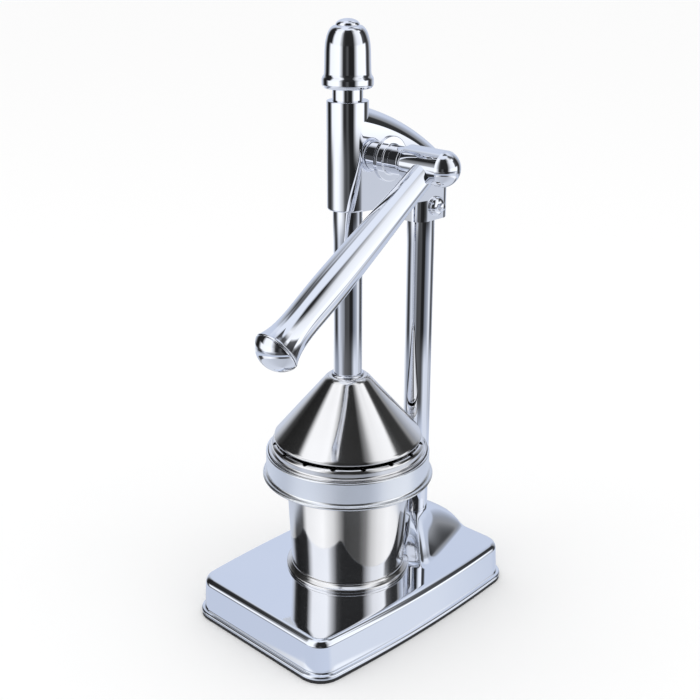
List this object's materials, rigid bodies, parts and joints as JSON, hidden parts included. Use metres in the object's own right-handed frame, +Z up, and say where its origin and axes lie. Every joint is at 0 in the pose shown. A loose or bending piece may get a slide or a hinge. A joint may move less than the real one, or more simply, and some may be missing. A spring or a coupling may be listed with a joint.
{
  "type": "lever citrus juice press",
  "caption": "Counter-top citrus press with a rack and pinion ram, a side lever, a press cone, a slotted strainer, a juice bowl and a cup on a pressed base.",
  "frame": {"origin": "centre of the underside of the base pad, on the table", "axes": "+Z up, +X to the user's right (the lever's side), +Y to the back (the column)"},
  "size_m": [0.137, 0.22, 0.4027],
  "materials": {
    "chrome": "polished",
    "stainless": "satin",
    "satin_metal": "satin",
    "plain_steel": "plain",
    "rubber": "matte"
  },
  "bodies": {
    "frame": {"base_cover": "chrome", "base_pad": "rubber", "spreader_plate": "plain_steel", "column_bolt": "plain_steel", "lock_washer": "plain_steel", "column": "chrome", "column_plug": "plain_steel", "head": "chrome", "head_screw": "chrome", "bearing_bush": "chrome", "cup": "stainless", "cup_foot": "stainless", "juice_bowl": "satin_metal", "strainer": "stainless"},
    "lever": {"lever_shaft": "plain_steel", "pinion": "plain_steel", "pinion_pin": "plain_steel", "hub_ring": "chrome", "lever_hub": "chrome", "lever_tube": "chrome", "grip_cap": "chrome", "end_washer": "plain_steel", "end_nut": "chrome"},
    "ram": {"ram": "chrome", "ram_cap": "chrome", "cap_screw": "chrome", "cone_washer": "chrome", "press_cone": "stainless", "cone_lock_washer": "plain_steel", "cone_nut": "plain_steel"}
  },
  "joints": [
    {"name": "lever_turn", "type": "hinge", "parent": "frame", "child": "lever", "pos_m": [0, 0.018, 0.316], "axis": [-1, 0, 0], "range_deg": [0, 170]},
    {"name": "ram_slide", "type": "slide", "parent": "frame", "child": "ram", "axis": [0, 0, 1], "range_m": [0, 0.0535]}
  ],
  "couplings": [
    {"joint": "ram_slide", "follows": "lever_turn", "m_per_rad": 0.018}
  ]
}
